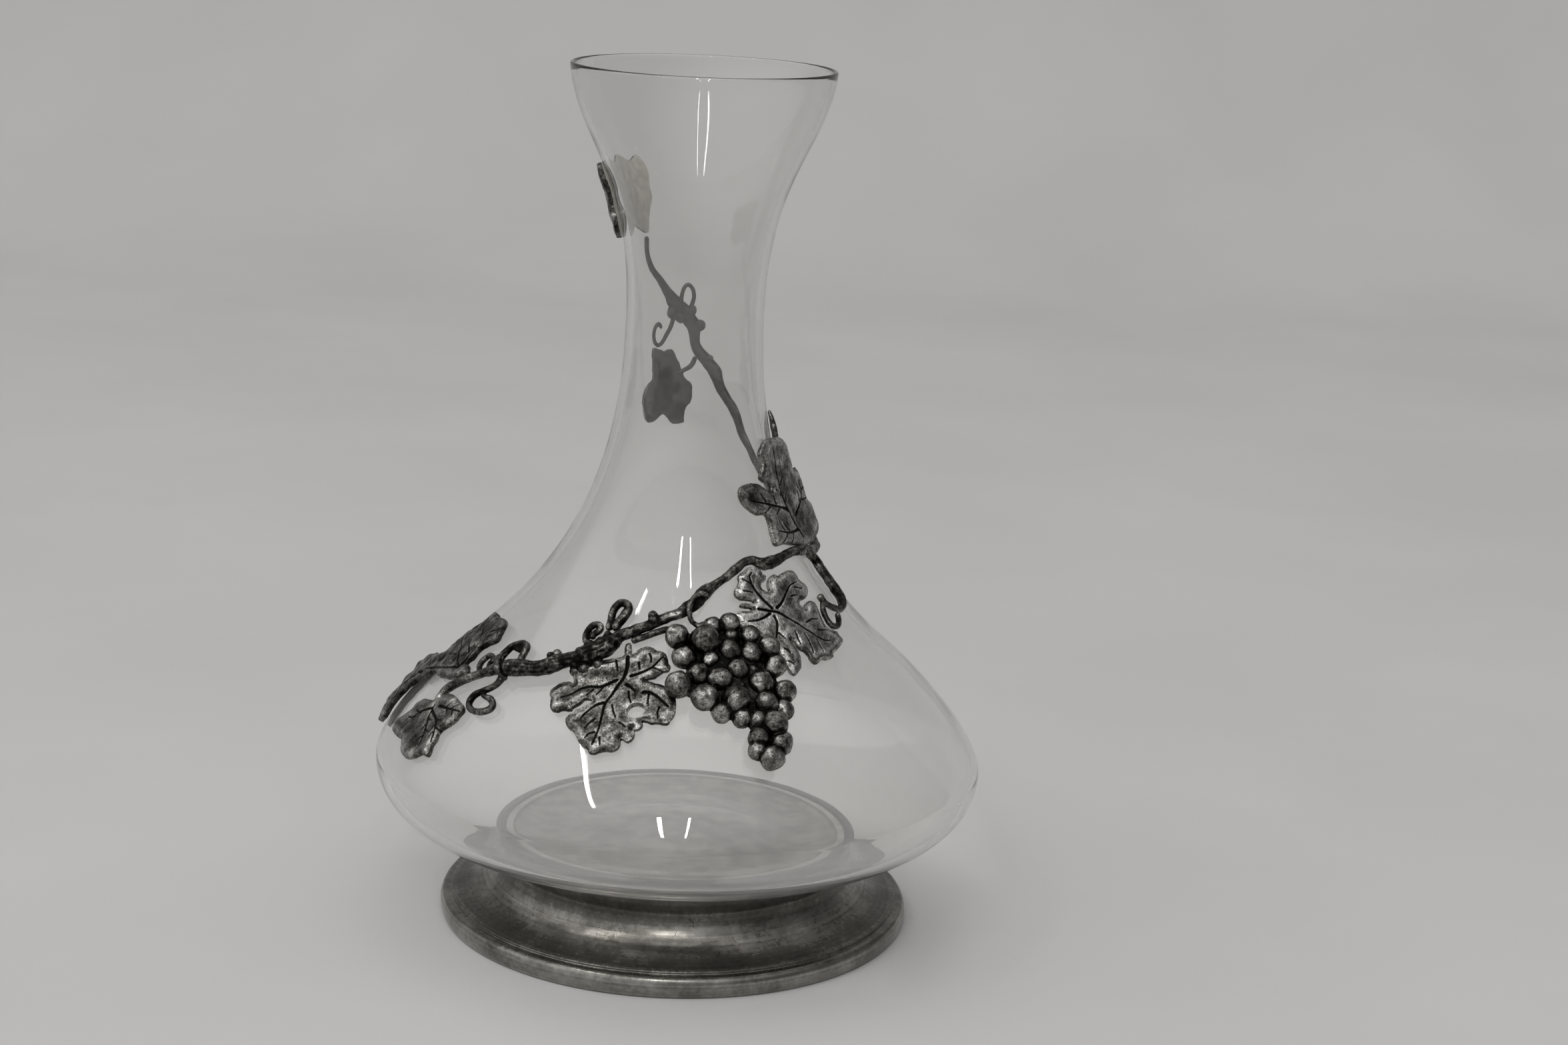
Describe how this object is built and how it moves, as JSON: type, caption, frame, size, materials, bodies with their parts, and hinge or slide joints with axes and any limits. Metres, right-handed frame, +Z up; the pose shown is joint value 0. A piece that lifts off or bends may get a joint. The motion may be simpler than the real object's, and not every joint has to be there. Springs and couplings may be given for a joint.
{
  "type": "wine carafe",
  "caption": "Clear glass wine carafe with a wide belly and a flared narrow neck, set in a turned pewter foot, with a cast pewter vine of leaves, tendrils and grapes laid round it.",
  "frame": {"origin": "on the axis of the carafe, in the plane that the foot rests on", "axes": "+Z up along the axis, -Y towards the front with the bunch of grapes, +X to the right of someone looking at the front"},
  "size_m": [0.1772, 0.1772, 0.25],
  "materials": {
    "glass": "clear blown glass, polished lip",
    "turned_pewter": "satin turned pewter with fine rings",
    "cast_pewter": "darkened cast pewter, rubbed bright on the high spots",
    "cement": "clear set cement"
  },
  "bodies": {
    "root": {"glass_body": "glass", "foot": "turned_pewter", "cement_bed": "cement", "neck_branch": "cast_pewter", "shoulder_branch": "cast_pewter", "lower_branch": "cast_pewter", "side_twig": "cast_pewter", "grape_stalk": "cast_pewter", "leaf_neck_stalk": "cast_pewter", "grape_bunch": "cast_pewter", "leaf_front": "cast_pewter", "leaf_grapes": "cast_pewter", "leaf_shoulder": "cast_pewter", "leaf_small_left": "cast_pewter", "leaf_side_left": "cast_pewter", "leaf_neck_back": "cast_pewter", "leaf_neck_left": "cast_pewter", "tendril_front_curl": "cast_pewter", "tendril_front_small": "cast_pewter", "tendril_left_wrap": "cast_pewter", "tendril_left_small": "cast_pewter", "tendril_left_curl": "cast_pewter", "tendril_right_loop": "cast_pewter", "tendril_neck_loop": "cast_pewter", "tendril_neck_ring": "cast_pewter", "tendril_shoulder_spike": "cast_pewter"}
  },
  "joints": []
}
